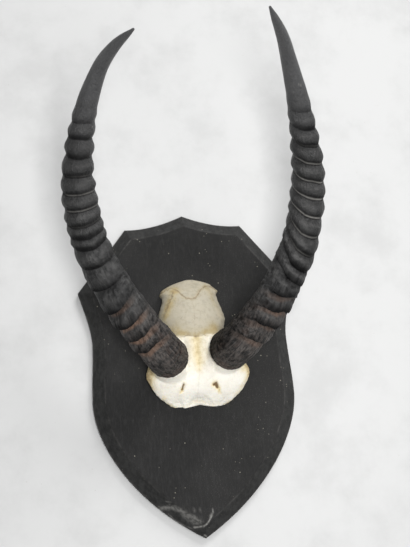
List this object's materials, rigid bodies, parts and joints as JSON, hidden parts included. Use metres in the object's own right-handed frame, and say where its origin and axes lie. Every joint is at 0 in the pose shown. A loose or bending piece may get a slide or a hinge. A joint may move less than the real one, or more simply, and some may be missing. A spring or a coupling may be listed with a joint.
{
  "type": "antelope horn trophy",
  "caption": "Ringed, lyre-shaped antelope horns on a bleached skull cap, mounted on a black wooden wall shield with a chamfered edge.",
  "frame": {"origin": "middle of the shield's flat back face, halfway between its apex and its tip", "axes": "+Y to the shield's scalloped top, +X to the horn on the right as seen from the front, +Z out of the back face towards the horns"},
  "size_m": [0.2896, 0.499, 0.3142],
  "materials": {
    "black_painted_wood": "satin black paint, brushed on",
    "bleached_bone": "bleached, dry, matt",
    "horn_keratin": "dry natural horn, satin at the tips",
    "zinc_steel": "dull zinc plating"
  },
  "bodies": {
    "root": {"shield": "black_painted_wood", "skull_cap": "bleached_bone", "horn_left": "horn_keratin", "horn_right": "horn_keratin", "skull_screw_upper": "zinc_steel", "skull_screw_lower": "zinc_steel", "hanger_plate": "zinc_steel", "hanger_screw_left": "zinc_steel", "hanger_screw_right": "zinc_steel"}
  },
  "joints": []
}
